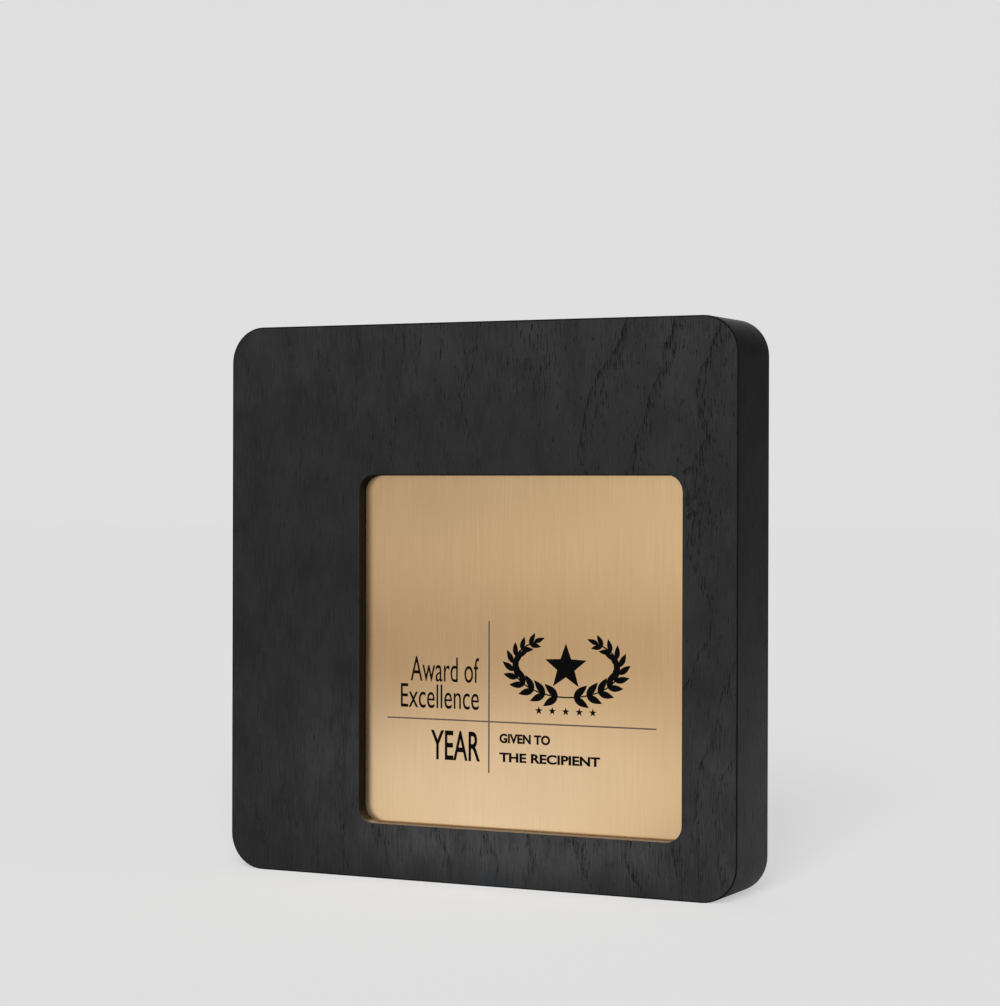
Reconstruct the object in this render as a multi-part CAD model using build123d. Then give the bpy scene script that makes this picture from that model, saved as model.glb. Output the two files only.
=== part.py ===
from build123d import *
import os

# Square award plaque: a layered wooden block that stands on its lower edge or hangs on a wall screw.
# Frame: millimetres, +Z up, the front faces -Y, and the origin is the middle of the resting edge.
# Layers from the front: face veneer, front board with a window, middle board, back board, back veneer.
# One strip of edge band wraps them, and a metal nameplate is bonded to the floor of the window.

# Block
BLOCK_SIZE = 200.0  # width and height
BLOCK_DEPTH = 30.0
CORNER_RADIUS = 13.0
EDGE_EASE = 0.3  # sanded rounding of the outer edges and of the window's edge
VENEER = 0.5  # face veneer, back veneer and edge band
FRONT_BOARD = 5.5
MIDDLE_BOARD = 12.0
BAND_GAP = 0.15  # butt joint of the edge band, on the resting edge
BAND_JOINT_X = -60.0

# Window in the front layers, set towards the lower right
WINDOW_SIZE = 125.9
WINDOW_RADIUS = 6.0
WINDOW_RIGHT_MARGIN = 20.3
WINDOW_BOTTOM_MARGIN = 19.7

# Nameplate and its bonding film
PLATE_GAP = 0.1  # all round, between plate and window
PLATE_THICK = 1.0
PLATE_EASE = 0.12
FILM_THICK = 0.15
FILM_INSET = 2.0  # back from the plate's edge

# Keyhole hanger, let in flush with the back
HANGER_WIDTH = 16.0
HANGER_HEIGHT = 46.0
HANGER_THICK = 1.5
HANGER_TOP_MARGIN = 14.0
HANGER_CLEARANCE = 0.15
ENTRY_RADIUS = 4.75  # round hole that the wall screw's head goes in through
SLOT_RADIUS = 2.3
KEYHOLE_TRAVEL = 11.0  # from the entry's centre up to the slot's end
HEAD_ROOM = 6.0  # depth of the cavity behind the hanger
HEAD_ROOM_SPARE = 1.0  # round the entry

# Countersunk wood screws of the hanger
SCREW_INSET = 5.0  # from the hanger's ends
SCREW_RADIUS = 1.45
SCREW_LENGTH = 11.0
SCREW_POINT = 3.0
SCREW_FIT = 0.02
HEAD_RADIUS = 2.7
HEAD_HEIGHT = 1.35
CROSS_WIDTH = 0.7
CROSS_SPAN = 3.0
CROSS_DEPTH = 0.9

# Bumpers on the back
BUMPER_RADIUS = 5.0
BUMPER_THICK = 2.0
BUMPER_ROUND = 1.2
BUMPER_INSET = 16.0

# Depths and places that follow from the sizes above
FRONT = -BLOCK_DEPTH / 2
BACK = BLOCK_DEPTH / 2
WINDOW_FLOOR = FRONT + VENEER + FRONT_BOARD
MIDDLE_BACK = WINDOW_FLOOR + MIDDLE_BOARD
PLATE_BACK = WINDOW_FLOOR - FILM_THICK
CORE_SIZE = BLOCK_SIZE - 2 * VENEER
CORE_RADIUS = CORNER_RADIUS - VENEER
MID_HEIGHT = BLOCK_SIZE / 2
WINDOW_X = BLOCK_SIZE / 2 - WINDOW_RIGHT_MARGIN - WINDOW_SIZE / 2
WINDOW_Z = WINDOW_BOTTOM_MARGIN + WINDOW_SIZE / 2
HANGER_Z = BLOCK_SIZE - HANGER_TOP_MARGIN - HANGER_HEIGHT / 2
HANGER_FRONT = BACK - HANGER_THICK
ENTRY_Z = HANGER_Z - KEYHOLE_TRAVEL / 2
SCREW_REACH = HANGER_HEIGHT / 2 - SCREW_INSET
SCREW_HEIGHTS = (HANGER_Z - SCREW_REACH, HANGER_Z + SCREW_REACH)
BUMPER_REACH = BLOCK_SIZE / 2 - BUMPER_INSET

BELOW = (Align.CENTER, Align.CENTER, Align.MAX)
ABOVE = (Align.CENTER, Align.CENTER, Align.MIN)


def prism(profile, x, z, front, back):
    """A profile as seen from the front, centred on (x, z) and solid from front to back."""
    plane = Plane(origin=(x, back, z), x_dir=(1, 0, 0), z_dir=(0, -1, 0))
    return extrude(plane * profile, back - front)


def on_back(solid, x, z):
    """Turns a solid built about the Z axis so that its +Z points out of the back at (x, z)."""
    return Pos(x, BACK, z) * Rot(-90, 0, 0) * solid


def rounded_square(size, radius):
    return RectangleRounded(size, size, radius)


def rising_slot(radius):
    """A round-ended slot from the profile's origin up to the end of the keyhole's travel."""
    return Pos(0, KEYHOLE_TRAVEL / 2) * SlotCenterToCenter(KEYHOLE_TRAVEL, 2 * radius, rotation=90)


def layer(front, back):
    """One full layer of the block, inside the edge band."""
    return prism(rounded_square(CORE_SIZE, CORE_RADIUS), 0, MID_HEIGHT, front, back)


def window(front, back):
    """The square hole that the nameplate lies in."""
    return prism(rounded_square(WINDOW_SIZE, WINDOW_RADIUS), WINDOW_X, WINDOW_Z, front, back)


def hanger_recess():
    """The shallow recess in the back that the hanger lies in."""
    height = HANGER_HEIGHT + 2 * HANGER_CLEARANCE
    width = HANGER_WIDTH + 2 * HANGER_CLEARANCE
    return prism(SlotOverall(height, width, rotation=90), 0, HANGER_Z, HANGER_FRONT, BACK)


def face_veneer():
    """Decorative front skin, with the window's edge eased."""
    skin = layer(FRONT, FRONT + VENEER) - window(FRONT, FRONT + VENEER)
    window_edge = skin.faces().sort_by(Axis.Y)[0].inner_wires()[0].edges()
    return skin.fillet(EDGE_EASE, window_edge)


def front_board():
    return layer(FRONT + VENEER, WINDOW_FLOOR) - window(FRONT + VENEER, WINDOW_FLOOR)


def middle_board():
    return layer(WINDOW_FLOOR, MIDDLE_BACK)


def back_board():
    """Rear layer, with the hanger's recess, the cavity behind the keyhole and two pilot holes."""
    board = layer(MIDDLE_BACK, BACK - VENEER) - hanger_recess()
    head_cavity = rising_slot(ENTRY_RADIUS + HEAD_ROOM_SPARE)
    board -= prism(head_cavity, 0, ENTRY_Z, HANGER_FRONT - HEAD_ROOM, HANGER_FRONT)
    pilot_hole = Circle(SCREW_RADIUS + SCREW_FIT)
    for z in SCREW_HEIGHTS:
        board -= prism(pilot_hole, 0, z, BACK - SCREW_LENGTH, HANGER_FRONT)
    return board


def back_veneer():
    return layer(BACK - VENEER, BACK) - hanger_recess()


def edge_band():
    """One strip bent round all the layers, whose ends meet on the resting edge."""
    band = prism(rounded_square(BLOCK_SIZE, CORNER_RADIUS), 0, MID_HEIGHT, FRONT, BACK)
    for rim in (Axis.Y, -Axis.Y):
        band = fillet(band.edges().group_by(rim)[0], EDGE_EASE)
    band -= layer(FRONT, BACK)
    return band - Pos(BAND_JOINT_X, 0, 0) * Box(BAND_GAP, BLOCK_DEPTH, 2 * VENEER)


def nameplate():
    outline = rounded_square(WINDOW_SIZE - 2 * PLATE_GAP, WINDOW_RADIUS - PLATE_GAP)
    plate = prism(outline, WINDOW_X, WINDOW_Z, PLATE_BACK - PLATE_THICK, PLATE_BACK)
    return fillet(plate.edges().group_by(Axis.Y)[0], PLATE_EASE)


def bonding_film():
    inset = PLATE_GAP + FILM_INSET
    outline = rounded_square(WINDOW_SIZE - 2 * inset, WINDOW_RADIUS - inset)
    return prism(outline, WINDOW_X, WINDOW_Z, PLATE_BACK, WINDOW_FLOOR)


def screw_head(spare=0.0):
    """A countersunk head below z = 0, or with spare the hole that it sits in."""
    taper = HEAD_HEIGHT + spare
    return Cone(SCREW_RADIUS, HEAD_RADIUS + spare, taper, align=BELOW)


def keyhole_hanger():
    """A round-ended steel plate with a keyhole and two countersunk holes."""
    plate = prism(SlotOverall(HANGER_HEIGHT, HANGER_WIDTH, rotation=90), 0, HANGER_Z, HANGER_FRONT, BACK)
    plate -= prism(Circle(ENTRY_RADIUS), 0, ENTRY_Z, HANGER_FRONT, BACK)
    plate -= prism(rising_slot(SLOT_RADIUS), 0, ENTRY_Z, HANGER_FRONT, BACK)
    for z in SCREW_HEIGHTS:
        plate -= prism(Circle(SCREW_RADIUS + SCREW_FIT), 0, z, HANGER_FRONT, BACK)
        plate -= on_back(screw_head(SCREW_FIT), 0, z)
    return plate


def hanger_screw(z):
    """A countersunk wood screw with a cross recess, its head flush with the hanger."""
    shank = Cylinder(SCREW_RADIUS, SCREW_LENGTH - SCREW_POINT, align=BELOW)
    point = Cone(0, SCREW_RADIUS, SCREW_POINT, align=BELOW)
    screw = screw_head() + shank + Pos(0, 0, SCREW_POINT - SCREW_LENGTH) * point
    for turn in (0, 90):
        screw -= Rot(0, 0, turn) * Box(CROSS_SPAN, CROSS_WIDTH, CROSS_DEPTH, align=BELOW)
    return on_back(screw, 0, z)


def bumper(x, z):
    """A self-adhesive bumper with a rounded rim."""
    pad = Cylinder(BUMPER_RADIUS, BUMPER_THICK, align=ABOVE)
    return on_back(fillet(pad.edges().group_by(Axis.Z)[-1], BUMPER_ROUND), x, z)


def all_parts():
    parts = {
        "face_veneer": face_veneer(),
        "front_board": front_board(),
        "middle_board": middle_board(),
        "back_board": back_board(),
        "back_veneer": back_veneer(),
        "edge_band": edge_band(),
        "nameplate": nameplate(),
        "bonding_film": bonding_film(),
        "keyhole_hanger": keyhole_hanger(),
        "hanger_screws": Compound([hanger_screw(z) for z in SCREW_HEIGHTS]),
    }
    for level, z in (("upper", MID_HEIGHT + BUMPER_REACH), ("lower", MID_HEIGHT - BUMPER_REACH)):
        for side, x in (("left", -BUMPER_REACH), ("right", BUMPER_REACH)):
            parts[f"bumper_{level}_{side}"] = bumper(x, z)
    return parts


os.makedirs("parts", exist_ok=True)
for node, shape in all_parts().items():
    export_step(shape, f"parts/{node}.step")
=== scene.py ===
import functools
import math
import bmesh
import bpy
from mathutils import Matrix, Vector


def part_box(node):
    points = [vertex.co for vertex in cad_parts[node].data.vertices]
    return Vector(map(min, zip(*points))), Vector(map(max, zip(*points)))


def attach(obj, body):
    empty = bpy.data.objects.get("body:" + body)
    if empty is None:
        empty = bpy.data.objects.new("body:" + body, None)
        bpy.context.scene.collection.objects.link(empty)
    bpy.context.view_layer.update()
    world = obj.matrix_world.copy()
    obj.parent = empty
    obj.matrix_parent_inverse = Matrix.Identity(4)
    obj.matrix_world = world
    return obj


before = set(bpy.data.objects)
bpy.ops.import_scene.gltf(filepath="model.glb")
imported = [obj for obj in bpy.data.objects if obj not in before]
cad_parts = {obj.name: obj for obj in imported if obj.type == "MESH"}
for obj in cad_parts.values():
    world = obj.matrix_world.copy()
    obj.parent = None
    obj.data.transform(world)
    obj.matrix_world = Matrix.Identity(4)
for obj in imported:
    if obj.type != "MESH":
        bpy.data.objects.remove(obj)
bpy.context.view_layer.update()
MM = 0.001

# Backdrop and floor as the camera sees them, in linear light. The floor's own glow makes up what its
# paper doesn't return, so the open floor matches the backdrop and only a faint shadow shows.
BACKDROP = 0.745
FLOOR_RADIUS = 9.0
FLOOR_LIT = 1.355  # light that falls on the open floor
FLOOR_ALBEDO = 0.20
FRONT_ALBEDO = 0.05  # in front of the plaque, where the plate throws its light
FLOOR_GLOW = BACKDROP - FLOOR_ALBEDO * FLOOR_LIT

# The floor as surfaces see it: a pool of light before the plaque with a bright rim at its foot, an
# arch that rounds off the pool's end, a dip beyond it, and far away the light of the room. Each START
# and END is a pair of distances from the plaque, in metres, between which the light changes.
POOL_CORE = (0.53, 0.620, 0.780, 1)
POOL_GLOW = (0.51, 0.515, 0.535, 1)
POOL_END = (0.48, 1.00)
POOL_LEAN = 0.48  # x for each metre of y along the pool's middle line
POOL_SHIFT = 0.015
RIM_GLOW = (1.0, 1.0, 1.0, 1)
RIM_START, RIM_END = (0.02, 0.06), (0.08, 0.13)
ARCH_GLOW = (0.72, 0.76, 0.84, 1)
ARCH_START, ARCH_END = (0.40, 0.60), (0.75, 1.00)
DIM_GLOW = 0.02  # to both sides of the pool
DIP_LEFT = (0.020, 0.000, 0.000, 1)
DIP_RIGHT = (0.225, 0.182, 0.145, 1)
DIP_END = (1.4, 4.5)
FAR_SHARE = 0.90  # of the room's light
BEHIND_GLOW = 0.54  # close behind the plaque
BEHIND_END = (0.3, 1.9)

# The room as surfaces see it, in linear light
AHEAD_GLOW = 0.88
LEFT_GLOW = 0.06
RIGHT_SHARE = 0.25  # of the light ahead
UPPER_SHARE = 0.20  # of the light ahead
BACK_GLOW = 0.06
FILL_GLOW = 1.7  # low, behind and to the left
FILL_UPPER_SHARE = 0.1
CEILING_GLOW = 0.35
SUN_STRENGTH = 7.4
SUN_SOFTNESS = math.radians(34)
SUN_TRAVEL = Vector((-0.31, 0.85, -0.42))

# Printed panel, in millimetres
PRINT_DEPTH = 0.05
PRINT_SUNK = 0.01
LAYER_STEP, LAYER_COUNT = 0.013, 23  # shares of the print's depth by which outlines differ
RULE_WIDTH = 0.52
UPRIGHT_RULE = (4.0, 39.8, 93.5)  # x, z0, z1
LEVEL_RULE = (57.9, -36.8, 68.2)  # z, x0, x1
TYPE_DEPTH = 1.0  # of the print's depth
LETTERING = {  # the words, their box as x0, x1, z0, z1, and how much their strokes are thickened
    "print_award": ("Award of", (-27.5, 0.0, 71.4, 80.4), 0.0),
    "print_excellence": ("Excellence", (-31.5, 0.0, 61.8, 70.4), 0.0),
    "print_year": ("YEAR", (-19.2, 0.5, 43.5, 54.1), 0.012),
    "print_name_first": ("GIVEN TO", (8.2, 28.0, 50.5, 53.9), 0.040),
    "print_name_second": ("THE RECIPIENT", (8.2, 47.2, 43.8, 47.2), 0.036),
}
EMBLEM_CENTRE = (34.0, 78.2)
WREATH_RADII = (20.5, 10.6)
WREATH_REACH = math.radians(142)  # from the foot of the wreath to the tip of a branch
WREATH_LEAVES = 10
LEAF_LENGTH, LEAF_WIDTH = 6.8, 2.7
LEAF_LEAN = 0.62  # radians between a leaf and the stem
LEAF_SHRINK = 0.35  # from the foot of a branch to its tip
LEAF_STEPS = 7
STEM_WIDTH = 0.5
STEM_STEPS = 24
EMBLEM_STAR = 8.4
STAR_WAIST = 0.42  # inner radius over outer
SMALL_STARS = 5
SMALL_STAR = 1.5
SMALL_STAR_PITCH = 5.2
SMALL_STAR_HEIGHT = 62.6

# Growth rings of the ash, in millimetres
RING_SPACING = 13.0
RING_DRIFT, RING_RIPPLE, RING_JITTER = 30.0, 6.0, 0.5
PITH_X = 33.0
PITH_DEPTH = 16.0
SADDLE_Z = 168.0
SADDLE_REACH = 22.0
SADDLE_DEPTH = 6.0

# Black-stained ash in linear light: its darkest, its middling and its palest tone. The palest is reached
# only where sheen is painted on.
ASH_TONES = ((0.0029, 0.0029, 0.0030), (0.0070, 0.0071, 0.0073), (0.0188, 0.0188, 0.0190))
# black of the open pores, also painted on cut edges and the band's front arris as shade
PORE_AND_EDGE_SHADE_BLACK = (0.0004, 0.0004, 0.0004, 1)

# Camera
CAMERA_AT = Vector((0.41343, -0.84041, 0.14044))
CAMERA_YAW = math.radians(26.019)
CAMERA_PITCH = math.radians(-0.296)
CAMERA_ROLL = math.radians(0.162)
CAMERA_LENS = 93.206
CAMERA_SENSOR = 36.0
CAMERA_CLIP = 50


# --- Node helpers ------------------------------------------------------------------------------

class Tree:
    """The node tree of one material or world, built by short calls."""

    def __init__(self, owner):
        owner.use_nodes = True
        self.tree = owner.node_tree
        self.tree.nodes.clear()

    def node(self, kind, inputs=None, **settings):
        made = self.tree.nodes.new(kind)
        for key, value in settings.items():
            setattr(made, key, value)
        for key, value in (inputs or {}).items():
            self.feed(made.inputs[key], value)
        return made

    def feed(self, socket, value):
        if isinstance(value, bpy.types.NodeSocket):
            self.tree.links.new(value, socket)
        else:
            socket.default_value = value

    def place(self, scale=(1, 1, 1), source="Object"):
        """Position on the piece in millimetres, or the direction looked in, times scale."""
        where = self.node("ShaderNodeTexCoord").outputs[source]
        unit = 1 / MM if source == "Object" else 1
        factors = [unit * s for s in scale]
        return self.node("ShaderNodeVectorMath", {0: where, 1: factors}, operation="MULTIPLY").outputs[0]

    def axis(self, vector, name):
        return self.node("ShaderNodeSeparateXYZ", {0: vector}).outputs[name]

    def axes(self, names):
        """Position on the piece in millimetres, along each of the axes named."""
        place = self.place()
        return [self.axis(place, name) for name in names]

    def math(self, operation, a, b=0.0, c=0.0):
        return self.node("ShaderNodeMath", {0: a, 1: b, 2: c}, operation=operation).outputs[0]

    def plus(self, *values):
        return functools.reduce(lambda a, b: self.math("ADD", a, b), values)

    def times(self, *values):
        return functools.reduce(lambda a, b: self.math("MULTIPLY", a, b), values)

    def most(self, *values):
        return functools.reduce(lambda a, b: self.math("MAXIMUM", a, b), values)

    def noise(self, scale, detail, roughness=0.5, distortion=0.0):
        """Noise on the piece, with grains of about 1 / scale millimetres along x, y and z."""
        inputs = {"Vector": self.place(scale), "Scale": 1.0, "Detail": detail, "Roughness": roughness}
        inputs["Distortion"] = distortion
        return self.node("ShaderNodeTexNoise", inputs).outputs["Fac"]

    def span(self, value, low, high, to_low=0.0, to_high=1.0, smooth=True):
        """Value carried from low..high to to_low..to_high, and held there beyond."""
        inputs = {"Value": value, "From Min": low, "From Max": high, "To Min": to_low, "To Max": to_high}
        kind = "SMOOTHSTEP" if smooth else "LINEAR"
        return self.node("ShaderNodeMapRange", inputs, interpolation_type=kind).outputs[0]

    def sway(self, noise, reach):
        """Noise carried to -reach..reach."""
        return self.span(noise, 0, 1, -reach, reach, smooth=False)

    def mix(self, share, a, b):
        """From colour a to colour b as share goes from 0 to 1."""
        made = self.node("ShaderNodeMix", data_type="RGBA")
        self.feed(made.inputs["Factor"], share)
        self.feed(made.inputs[6], a)
        self.feed(made.inputs[7], b)
        return made.outputs[2]

    def camera_ray(self):
        return self.node("ShaderNodeLightPath").outputs["Is Camera Ray"]

    def bump(self, height, depth_mm):
        inputs = {"Height": height, "Distance": depth_mm * MM, "Strength": 1.0}
        return self.node("ShaderNodeBump", inputs).outputs[0]

    def surface(self, **sockets):
        """The Principled shader, with its sockets named by words joined with underscores."""
        shader = self.node("ShaderNodeBsdfPrincipled")
        for key, value in sockets.items():
            self.feed(shader.inputs[key.replace("_", " ")], value)
        self.output("ShaderNodeOutputMaterial", shader)

    def output(self, kind, shader):
        self.tree.links.new(shader.outputs[0], self.node(kind).inputs["Surface"])


def new_material(name):
    made = bpy.data.materials.new(name)
    return made, Tree(made)


def grey(value):
    return (value, value, value, 1)


def toned(colour, tone):
    return tuple(tone * c for c in colour) + (1,)


def plate_foot():
    """Height of the plate's lower edge, in millimetres."""
    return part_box("nameplate")[0][2] / MM


# --- Materials ---------------------------------------------------------------------------------

def brushed_gold():
    """Gold-coloured plate, brushed up and down, so its highlights spread sideways."""
    made, t = new_material("brushed_gold")
    hairlines = t.noise((1.8, 1.0, 0.03), detail=3, roughness=0.7)
    clouds = t.noise((0.05, 1.0, 0.02), detail=2)
    height, = t.axes("Z")
    contrast = t.span(height, 45, 75, 0.6, 1.0)  # the hairlines show less in the bright lower part
    strokes = t.math("MULTIPLY_ADD", t.span(hairlines, 0.3, 0.7, -0.5, 0.5), contrast, 0.5)
    t.surface(
        Base_Color=t.mix(strokes, (0.935, 0.634, 0.337, 1), (0.990, 0.682, 0.369, 1)),
        Metallic=1.0,
        Roughness=t.span(clouds, 0.3, 0.7, 0.19, 0.22),
        Anisotropic=0.9,
        Tangent=t.node("ShaderNodeTangent", direction_type="RADIAL", axis="Z").outputs[0],
        Normal=t.bump(hairlines, 0.0002),
    )
    return made


def growth_rings(t, x, z):
    """Ring number across a flat-sawn sheet. Rings pinch in a saddle above the window, and wander."""
    wave = t.math("COSINE", t.times(t.math("SUBTRACT", z, SADDLE_Z), 1 / SADDLE_REACH))
    below = t.math("MULTIPLY_ADD", wave, SADDLE_DEPTH, PITH_DEPTH)
    aside = t.math("SUBTRACT", x, PITH_X)
    from_pith = t.math("SQRT", t.plus(t.math("POWER", aside, 2.0), t.math("POWER", below, 2.0)))
    drift = t.sway(t.noise((0.014, 0.014, 0.008), detail=1), RING_DRIFT)
    ripple = t.sway(t.noise((0.05, 0.05, 0.05), detail=1), RING_RIPPLE)
    jitter = t.sway(t.noise((0.9, 0.9, 0.25), detail=1), RING_JITTER)
    return t.times(t.plus(from_pith, t.plus(drift, ripple, jitter)), 1 / RING_SPACING)


def ring_pores(t, x, z):
    """Open pores of the sheet: a broken line at each ring, crowded dashes beside it, few between."""
    dots = t.noise((2.5, 2.5, 0.30), detail=2, roughness=0.6)
    ring = t.math("SUBTRACT", 1.0, t.math("FRACT", growth_rings(t, x, z)))
    crowd = t.times(t.math("POWER", ring, 5.0), 0.13)
    dashes = t.span(t.plus(dots, crowd), 0.56, 0.74)
    line = t.times(t.math("POWER", ring, 15.0), t.span(dots, 0.36, 0.60, 0.35, 0.85))
    return t.most(dashes, line)


def foot_strip(t, z):
    """The strip of the face below the window, fading out at the very foot."""
    return t.times(t.span(z, 34, 19), t.span(z, -2, 15))


def grain_openness(t, x, z):
    """How open the grain is: most on the right, and a little more under and above the window."""
    right_or_foot = t.most(t.span(x, 10, 60), t.times(foot_strip(t, z), 0.7))
    above = t.times(t.span(z, 140, 165), t.span(x, -80, -30, 0.0, 0.25))
    return t.plus(t.span(right_or_foot, 0, 1, 0.72, 1.0, smooth=False), above)


def sheet_painted_sheen(t, x, z):
    """Share of the paler tone, a painted sheen of room and floor light: under the window, in the low
    corners and towards the top edge.
    """
    under = t.times(foot_strip(t, z), t.span(x, -62, -32), t.span(x, 98, 68))
    low = t.times(t.span(z, 74, 44), t.most(t.span(z, 8, 26), t.span(x, 60, 90)))
    low = t.times(low, t.span(x, -90, -50, 0.20, 0.47))
    top = t.span(z, 160, 200, 0.0, 0.32, smooth=False)
    return t.most(under, low, top)


def window_edge(t, depth, z):
    """The cut edge of the face veneer inside the window, above its sill, which is painted dark as shade."""
    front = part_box("face_veneer")[0][1] / MM
    past_face = t.times(t.span(depth, front + 0.02, front + 0.10), t.span(depth, 0, -1))
    return t.times(past_face, t.span(z, plate_foot() + 1, plate_foot() + 3))


def stained_ash(t, fibres, painted_sheen, pores_and_edge_shade, tone, gloss):
    """Colour, gloss and relief of black-stained ash. The third argument is the share of the paler tone, a
    painted sheen of the light the satin finish reflects; the fourth darkens the open pores and also the
    edges where shade is painted.
    """
    blotches = t.noise((0.07, 0.07, 0.05), detail=3, roughness=0.6)
    grain = t.plus(t.times(fibres, 0.55), t.times(blotches, 0.45))
    darkest, middling, palest = (toned(colour, tone) for colour in ASH_TONES)
    low, high = t.mix(painted_sheen, darkest, middling), t.mix(painted_sheen, middling, palest)
    t.surface(
        Base_Color=t.mix(pores_and_edge_shade, t.mix(t.span(grain, 0.38, 0.62), low, high), PORE_AND_EDGE_SHADE_BLACK),
        Roughness=t.span(pores_and_edge_shade, 0, 1, 0.50, 0.95, smooth=False),
        Specular_IOR_Level=gloss,
        Normal=t.bump(t.math("SUBTRACT", t.times(fibres, 0.3), pores_and_edge_shade), 0.03),
    )


def ash_sheet():
    """Flat-sawn ash veneer of the front and the back, its fibres running up."""
    made, t = new_material("black_ash_sheet")
    x, depth, z = t.axes("XYZ")
    fibres = t.noise((2.6, 2.6, 0.10), detail=3, roughness=0.65)
    pores_and_edge_shade = t.math("MINIMUM", t.times(ring_pores(t, x, z), grain_openness(t, x, z)), 1.0)
    # the window's cut edge is painted with the pores' black, as shade
    pores_and_edge_shade = t.most(pores_and_edge_shade, window_edge(t, depth, z))
    # the paler share paints the face's sheen
    stained_ash(t, fibres, sheet_painted_sheen(t, x, z), pores_and_edge_shade, tone=1.0, gloss=0.16)
    return made


def ash_band():
    """Plain ash veneer round the sides, its fibres running along the band. Its front arris is painted near
    black as shade, the band is painted paler towards the foot and the back as sheen, and its tone is set
    darker than the face's as painted shade of the sides.
    """
    made, t = new_material("black_ash_band")
    depth, z = t.axes("YZ")
    fibres = t.noise((0.06, 3.0, 0.06), detail=3, roughness=0.65)
    dots = t.noise((0.12, 2.0, 0.12), detail=2, roughness=0.6)
    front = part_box("edge_band")[0][1] / MM
    # the front arris is painted near black, as shade
    arris = t.span(depth, front + 0.15, front + 0.45, 1.0, 0.0)
    pores_and_edge_shade = t.most(t.times(t.span(dots, 0.56, 0.72), 0.5), arris)
    # paler towards the foot and the back: painted sheen of the floor and room light
    low = t.span(z, 95, 25, 0.0, 0.75)
    painted_sheen = t.plus(low, t.span(depth, front, -front, 0.0, 0.35, smooth=False))
    # tone 0.85 darkens the band below the face's tone: painted shade of the sides
    stained_ash(t, fibres, painted_sheen, pores_and_edge_shade, tone=0.85, gloss=0.12)
    return made


def stained_board():
    """Board edge inside the window: black stain with a brown tint that paints the gold plate's reflection,
    and on the sill a paler brown that paints the plate's reflection there.
    """
    made, t = new_material("stained_board")
    grit = t.noise((3, 3, 3), detail=4, roughness=0.7)
    # brown-black: black stain, its brown tint a painted reflection of the gold plate
    stain_and_gold_tint = t.mix(grit, (0.0020, 0.0014, 0.0006, 1), (0.0046, 0.0035, 0.0018, 1))
    # paler brown on the sill: painted reflection of the gold plate
    sill_gold_reflection = t.mix(grit, (0.070, 0.056, 0.040, 1), (0.140, 0.115, 0.085, 1))
    height, = t.axes("Z")
    t.surface(
        Base_Color=t.mix(t.span(height, plate_foot(), plate_foot() + 1.2), sill_gold_reflection, stain_and_gold_tint),
        Roughness=t.span(grit, 0.3, 0.7, 0.5, 0.62),
        Specular_IOR_Level=0.01,
        Normal=t.bump(grit, 0.02),
    )
    return made


def fibreboard():
    """Raw medium-density board: matted tan fibres."""
    made, t = new_material("fibreboard")
    mat = t.noise((1.6, 1.6, 1.6), detail=5, roughness=0.75, distortion=1.5)
    t.surface(
        Base_Color=t.mix(t.span(mat, 0.35, 0.65), (0.20, 0.125, 0.065, 1), (0.36, 0.25, 0.145, 1)),
        Roughness=0.86,
        Normal=t.bump(mat, 0.08),
    )
    return made


def bonding_film():
    """Double-sided bonding film, slightly milky."""
    made, t = new_material("clear_film")
    haze = t.noise((0.6, 0.6, 0.6), detail=3)
    t.surface(Base_Color=t.mix(haze, (0.62, 0.62, 0.58, 1), (0.78, 0.78, 0.75, 1)), Roughness=0.4)
    return made


def zinc_plate(name, tone=1.0):
    """Bright zinc plating: bluish steel with faint spangle and a few handling marks."""
    made, t = new_material(name)
    spangle = t.noise((0.9, 0.9, 0.9), detail=4, roughness=0.6)
    scuffs = t.span(t.noise((6, 6, 0.5), detail=2), 0.62, 0.74)
    darker, brighter = toned((0.50, 0.51, 0.53), tone), toned((0.66, 0.67, 0.68), tone)
    t.surface(
        Base_Color=t.mix(t.span(spangle, 0.35, 0.65), darker, brighter),
        Metallic=1.0,
        Roughness=t.span(t.plus(spangle, scuffs), 0.3, 1.3, 0.26, 0.48, smooth=False),
        Normal=t.bump(spangle, 0.015),
    )
    return made


def rubber():
    """Charcoal rubber with a fine moulded grain."""
    made, t = new_material("rubber")
    grain = t.noise((5, 5, 5), detail=3, roughness=0.6)
    t.surface(
        Base_Color=t.mix(grain, (0.018, 0.018, 0.019, 1), (0.034, 0.034, 0.035, 1)),
        Roughness=t.span(grain, 0.3, 0.7, 0.55, 0.72),
        Normal=t.bump(grain, 0.03),
    )
    return made


def printing_ink(name, thin, full):
    """Screen-printed ink, matt, mottled between its thin and its full colour."""
    made, t = new_material(name)
    mottle = t.noise((2.5, 2.5, 2.5), detail=3)
    t.surface(
        Base_Color=t.mix(mottle, thin, full),
        Roughness=t.span(mottle, 0.3, 0.7, 0.8, 0.9),
        Specular_IOR_Level=0.02,
    )
    return made


def cover(nodes, material):
    for node in nodes:
        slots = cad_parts[node].data.materials
        slots.clear()
        slots.append(material)


# --- Printed panel -----------------------------------------------------------------------------

def printed(name, shape, ink):
    """Adds flat artwork, drawn in millimetres on the x-z plane, as a thin layer of ink on the plate."""
    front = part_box("nameplate")[0][1]
    mesh = bpy.data.meshes.new(name)
    shape.to_mesh(mesh)
    shape.free()
    for vertex in mesh.vertices:
        x, depth, z = vertex.co
        vertex.co = (x * MM, front + (PRINT_SUNK - depth * PRINT_DEPTH) * MM, z * MM)
    mesh.flip_normals()
    mesh.materials.append(ink)
    piece = bpy.data.objects.new(name, mesh)
    bpy.context.scene.collection.objects.link(piece)
    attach(piece, "root")


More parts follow.
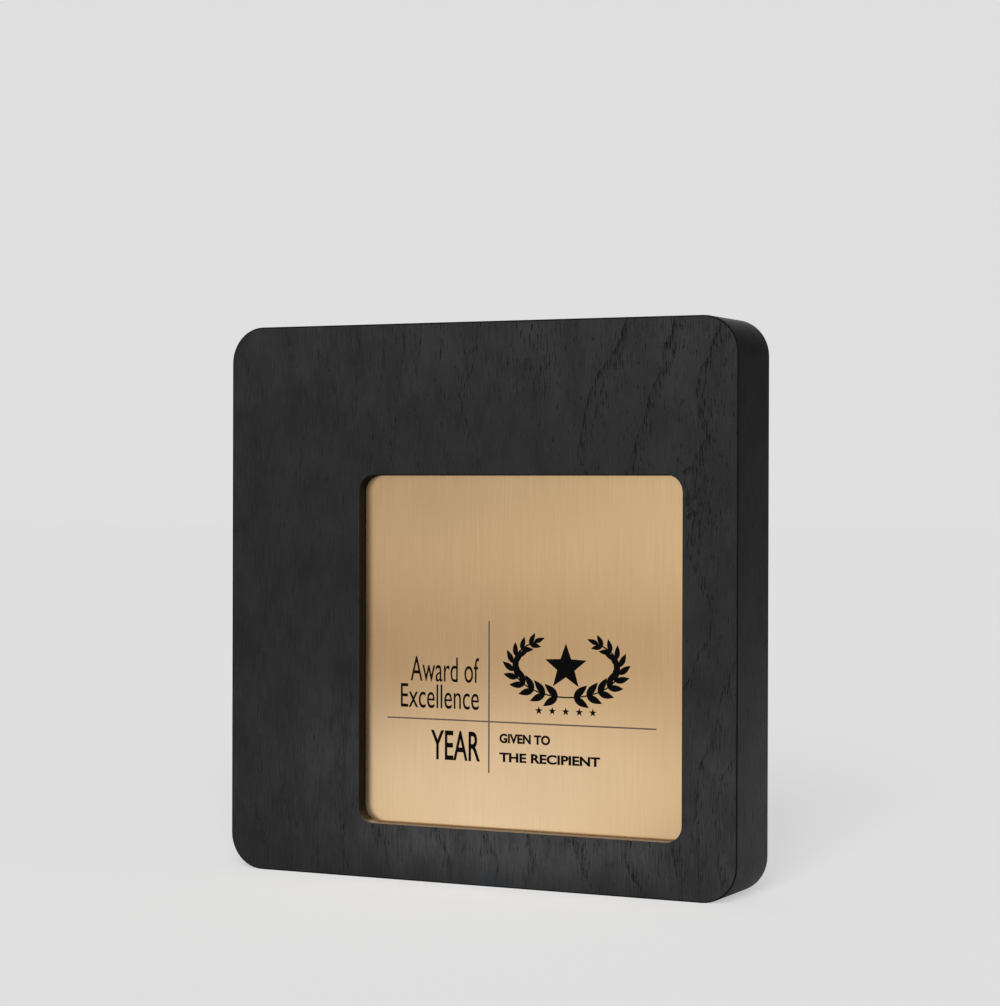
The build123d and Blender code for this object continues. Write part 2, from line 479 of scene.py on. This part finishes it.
def add_outline(shape, points):
    """A flat outline given as (x, z) points, raised so that overlapping ones never share a surface."""
    depth = 1.0 - LAYER_STEP * (len(shape.faces) % LAYER_COUNT)
    base = shape.faces.new([shape.verts.new((x, 0, z)) for x, z in points])
    raised = bmesh.ops.extrude_face_region(shape, geom=[base])["geom"]
    for part in raised:
        if isinstance(part, bmesh.types.BMVert):
            part.co.y = depth
    bmesh.ops.recalc_face_normals(shape, faces=shape.faces)


def star(centre, radius):
    """A five-pointed star, one point up."""
    x, z = centre
    turns = [math.radians(90 + 36 * k) for k in range(10)]
    reach = [radius if k % 2 == 0 else radius * STAR_WAIST for k in range(10)]
    return [(x + r * math.cos(a), z + r * math.sin(a)) for a, r in zip(turns, reach)]


def leaf(root, heading, length, width):
    """A pointed leaf, widest a little before its middle."""
    def edge(share, side):
        along = length * share
        out = side * width / 2 * math.sin(math.pi * share ** 0.8)
        return (root[0] + along * math.cos(heading) - out * math.sin(heading),
                root[1] + along * math.sin(heading) + out * math.cos(heading))
    shares = [k / LEAF_STEPS for k in range(LEAF_STEPS + 1)]
    return [edge(s, 1) for s in shares] + [edge(s, -1) for s in reversed(shares[1:-1])]


def rule(start, end, width):
    """A straight line with rounded ends."""
    (x0, z0), (x1, z1) = start, end
    heading = math.atan2(z1 - z0, x1 - x0)
    turns = [math.pi / 2 + math.pi * k / 6 for k in range(7)]
    cap = [(width / 2 * math.cos(a + heading), width / 2 * math.sin(a + heading)) for a in turns]
    return [(x0 + x, z0 + z) for x, z in cap] + [(x1 - x, z1 - z) for x, z in cap]


def wreath_point(turn, side):
    """A point on the stem, a turn up from the foot of the wreath, on the left (-1) or right (+1)."""
    x, z = EMBLEM_CENTRE
    return (x + side * WREATH_RADII[0] * math.sin(turn), z - WREATH_RADII[1] * math.cos(turn))


def wreath_heading(turn, side):
    (x0, z0), (x1, z1) = wreath_point(turn, side), wreath_point(turn + 0.02, side)
    return math.atan2(z1 - z0, x1 - x0)


def add_branch(shape, side):
    """One laurel branch: leaves in pairs that shrink towards its tip, a last leaf there, and a stem."""
    for number in range(WREATH_LEAVES):
        turn = WREATH_REACH * (number + 0.6) / WREATH_LEAVES
        shrink = 1.0 - LEAF_SHRINK * number / WREATH_LEAVES
        for lean in (-LEAF_LEAN, LEAF_LEAN):
            heading = wreath_heading(turn, side) + lean
            size = (LEAF_LENGTH * shrink, LEAF_WIDTH * shrink)
            add_outline(shape, leaf(wreath_point(turn, side), heading, *size))
    tip, heading = wreath_point(WREATH_REACH, side), wreath_heading(WREATH_REACH, side)
    add_outline(shape, leaf(tip, heading, LEAF_LENGTH * 0.7, LEAF_WIDTH * 0.65))
    stem = [wreath_point(WREATH_REACH * k / STEM_STEPS, side) for k in range(STEM_STEPS + 1)]
    for start, end in zip(stem, stem[1:]):
        add_outline(shape, rule(start, end, STEM_WIDTH))


def add_lettering(name, words, box, weight, ink):
    """A line of the built-in type, stretched to fill its box."""
    curve = bpy.data.curves.new(name + "_type", "FONT")
    curve.body = words
    curve.size = 1.0
    curve.offset = weight
    curve.extrude = TYPE_DEPTH / 2
    curve.resolution_u = 6
    source = bpy.data.objects.new(name + "_type", curve)
    bpy.context.scene.collection.objects.link(source)
    solid = source.evaluated_get(bpy.context.evaluated_depsgraph_get())
    shape = bmesh.new()
    shape.from_mesh(bpy.data.meshes.new_from_object(solid))
    bpy.data.objects.remove(source)
    bmesh.ops.remove_doubles(shape, verts=shape.verts, dist=0.001)
    xs, ys = ([v.co[k] for v in shape.verts] for k in (0, 1))
    left, foot = min(xs), min(ys)
    x0, x1, z0, z1 = box
    across, up = (x1 - x0) / (max(xs) - left), (z1 - z0) / (max(ys) - foot)
    for vertex in shape.verts:
        x, y, depth = vertex.co
        vertex.co = (x0 + across * (x - left), depth + TYPE_DEPTH / 2, z0 + up * (y - foot))
    bmesh.ops.reverse_faces(shape, faces=shape.faces)
    printed(name, shape, ink)


def print_panel():
    ink = printing_ink("black_ink", (0.0016, 0.0016, 0.0016, 1), (0.0004, 0.0004, 0.0004, 1))
    grey_ink = printing_ink("grey_ink", (0.060, 0.042, 0.036, 1), (0.036, 0.025, 0.022, 1))
    rules = bmesh.new()
    x, z0, z1 = UPRIGHT_RULE
    add_outline(rules, rule((x, z0), (x, z1), RULE_WIDTH))
    z, x0, x1 = LEVEL_RULE
    add_outline(rules, rule((x0, z), (x1, z), RULE_WIDTH))
    printed("print_rules", rules, grey_ink)

    emblem = bmesh.new()
    for side in (-1, 1):
        add_branch(emblem, side)
    add_outline(emblem, star(EMBLEM_CENTRE, EMBLEM_STAR))
    printed("print_wreath", emblem, ink)

    row = bmesh.new()
    for k in range(SMALL_STARS):
        x = EMBLEM_CENTRE[0] + (k - (SMALL_STARS - 1) / 2) * SMALL_STAR_PITCH
        add_outline(row, star((x, SMALL_STAR_HEIGHT), SMALL_STAR))
    printed("print_stars", row, ink)

    for name, (words, box, weight) in LETTERING.items():
        add_lettering(name, words, box, weight, ink)


# --- Stage -------------------------------------------------------------------------------------

def make_camera():
    data = bpy.data.cameras.new("camera")
    data.lens = CAMERA_LENS
    data.sensor_width = CAMERA_SENSOR
    data.sensor_fit = "AUTO"
    data.clip_end = CAMERA_CLIP
    camera = bpy.data.objects.new("camera", data)
    bpy.context.scene.collection.objects.link(camera)
    turn = Matrix.Rotation(CAMERA_YAW, 4, "Z") @ Matrix.Rotation(math.pi / 2 + CAMERA_PITCH, 4, "X")
    camera.matrix_world = Matrix.Translation(CAMERA_AT) @ turn @ Matrix.Rotation(CAMERA_ROLL, 4, "Z")
    bpy.context.scene.camera = camera


def room_light(t, side):
    """Light from the front half of the room: bright ahead of the face, dim towards both sides."""
    rise = t.span(side, -0.62, -0.22, LEFT_GLOW, AHEAD_GLOW, smooth=False)
    return t.times(rise, t.span(side, 0.0, 0.42, 1.0, RIGHT_SHARE))


def make_world():
    """Even backdrop for the camera. Surfaces see a room lit from the front, with a low fill behind."""
    world = bpy.data.worlds.new("studio")
    bpy.context.scene.world = world
    t = Tree(world)
    way = t.place(source="Generated")
    side, forward, up = (t.axis(way, name) for name in "XYZ")
    wall = t.span(up, 0.08, 0.40, 1.0, UPPER_SHARE)
    ahead = t.times(t.span(forward, 0.2, -0.6), wall, room_light(t, side))
    fill = t.times(t.span(side, 0.20, -0.30, 0.0, FILL_GLOW), t.span(up, 0.15, 0.60, 1.0, FILL_UPPER_SHARE))
    behind = t.times(t.span(forward, 0.0, 0.5), fill)
    ceiling = t.span(up, 0.35, 0.95, 0.0, CEILING_GLOW)
    room = t.plus(t.most(ahead, behind, BACK_GLOW), ceiling)
    light = t.mix(t.camera_ray(), room, grey(BACKDROP))
    t.output("ShaderNodeOutputWorld", t.node("ShaderNodeBackground", {"Color": light}))


def floor_as_reflected(t, x, y, away):
    """The light that surfaces get from the floor, by distance from the plaque and by direction."""
    reach = t.plus(away, 0.05)
    sideways, backwards = t.math("DIVIDE", x, reach), t.math("DIVIDE", y, reach)
    off_line = t.math("SUBTRACT", x, t.math("MULTIPLY_ADD", y, POOL_LEAN, POOL_SHIFT))
    beside = t.math("DIVIDE", t.math("ABSOLUTE", off_line), reach)

    pool = t.mix(t.span(beside, 0.05, 0.24), POOL_CORE, POOL_GLOW)
    rim = t.times(t.span(away, *RIM_START), t.span(away, *RIM_END, 1.0, 0.0))
    pool = t.mix(rim, pool, RIM_GLOW)
    pool = t.mix(t.span(beside, 0.20, 0.60), pool, grey(DIM_GLOW))

    dip = t.mix(t.span(sideways, -0.50, -0.41, smooth=False), DIP_LEFT, DIP_RIGHT)
    distant = t.mix(t.span(away, *DIP_END), dip, t.times(room_light(t, sideways), FAR_SHARE))
    ahead = t.mix(t.span(t.plus(away, beside), *POOL_END), pool, distant)
    arch = t.times(t.span(away, *ARCH_START), t.span(away, *ARCH_END, 1.0, 0.0))
    ahead = t.mix(t.times(arch, t.span(beside, 0.0, 0.12, 1.0, 0.0)), ahead, ARCH_GLOW)
    behind = t.span(away, *BEHIND_END, BEHIND_GLOW, BACK_GLOW)
    return t.mix(t.span(backwards, -0.2, 0.6), ahead, behind)


def floor_paper():
    """Pale paper with a glow of its own: even for the camera, and as reflected for surfaces."""
    made, t = new_material("floor")
    place = t.place((MM, MM, 0))
    away = t.node("ShaderNodeVectorMath", {0: place}, operation="LENGTH").outputs["Value"]
    x, y = t.axis(place, "X"), t.axis(place, "Y")
    glow = t.mix(t.camera_ray(), floor_as_reflected(t, x, y, away), grey(FLOOR_GLOW))
    albedo = t.span(y, -0.06, -0.015, FRONT_ALBEDO, FLOOR_ALBEDO)
    lost = t.times(t.math("SUBTRACT", FLOOR_ALBEDO, albedo), FLOOR_LIT)
    glow = t.node("ShaderNodeVectorMath", {0: glow, 1: lost}, operation="ADD").outputs[0]
    shining = t.node("ShaderNodeEmission", {"Color": glow}).outputs[0]
    paper = t.node("ShaderNodeBsdfDiffuse", {"Color": albedo}).outputs[0]
    t.output("ShaderNodeOutputMaterial", t.node("ShaderNodeAddShader", {0: shining, 1: paper}))
    return made


def make_floor():
    """A pale disc that glows evenly for the camera and takes a faint shadow."""
    mesh = bpy.data.meshes.new("floor")
    shape = bmesh.new()
    bmesh.ops.create_circle(shape, cap_ends=True, segments=128, radius=FLOOR_RADIUS)
    shape.to_mesh(mesh)
    shape.free()
    mesh.materials.append(floor_paper())
    floor = bpy.data.objects.new("floor", mesh)
    bpy.context.scene.collection.objects.link(floor)


def make_sun():
    data = bpy.data.lights.new("key", "SUN")
    data.energy = SUN_STRENGTH
    data.angle = SUN_SOFTNESS
    lamp = bpy.data.objects.new("key", data)
    bpy.context.scene.collection.objects.link(lamp)
    lamp.rotation_euler = SUN_TRAVEL.to_track_quat("-Z", "Y").to_euler()


make_camera()
make_world()
make_floor()
make_sun()
cover(["face_veneer", "back_veneer"], ash_sheet())
cover(["edge_band"], ash_band())
cover(["front_board"], stained_board())
cover(["middle_board", "back_board"], fibreboard())
cover(["bonding_film"], bonding_film())
cover(["nameplate"], brushed_gold())
cover(["keyhole_hanger"], zinc_plate("zinc_plate"))
cover(["hanger_screws"], zinc_plate("zinc_screw", tone=0.62))
cover(["bumper_upper_left", "bumper_upper_right", "bumper_lower_left", "bumper_lower_right"], rubber())
print_panel()

bpy.context.scene.view_settings.view_transform = "Standard"
